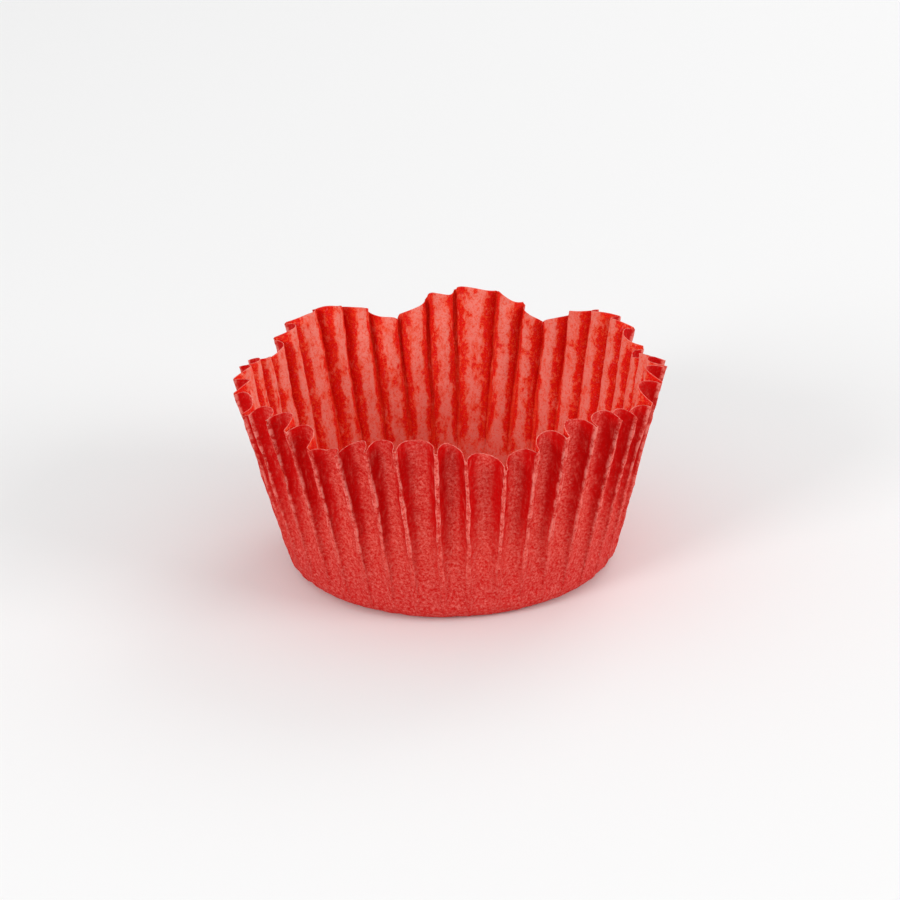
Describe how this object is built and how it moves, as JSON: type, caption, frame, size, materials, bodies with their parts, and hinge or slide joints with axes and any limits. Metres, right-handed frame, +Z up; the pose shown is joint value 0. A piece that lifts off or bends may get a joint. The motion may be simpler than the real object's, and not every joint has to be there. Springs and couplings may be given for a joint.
{
  "type": "cupcake liner",
  "caption": "Round fluted paper baking cup with a flat base, a wall that leans out and a scalloped petal rim. It holds a cake while it bakes.",
  "frame": {"origin": "middle of the base, on the surface that the cup stands on", "axes": "+Z up, out of the open top; -Y is the front of the picture, which looks down a little into the cup"},
  "size_m": [0.0668, 0.067, 0.0323],
  "materials": {
    "red_paper": "matte greaseproof paper, dyed through"
  },
  "bodies": {
    "root": {"paper_liner": "red_paper"}
  },
  "joints": []
}
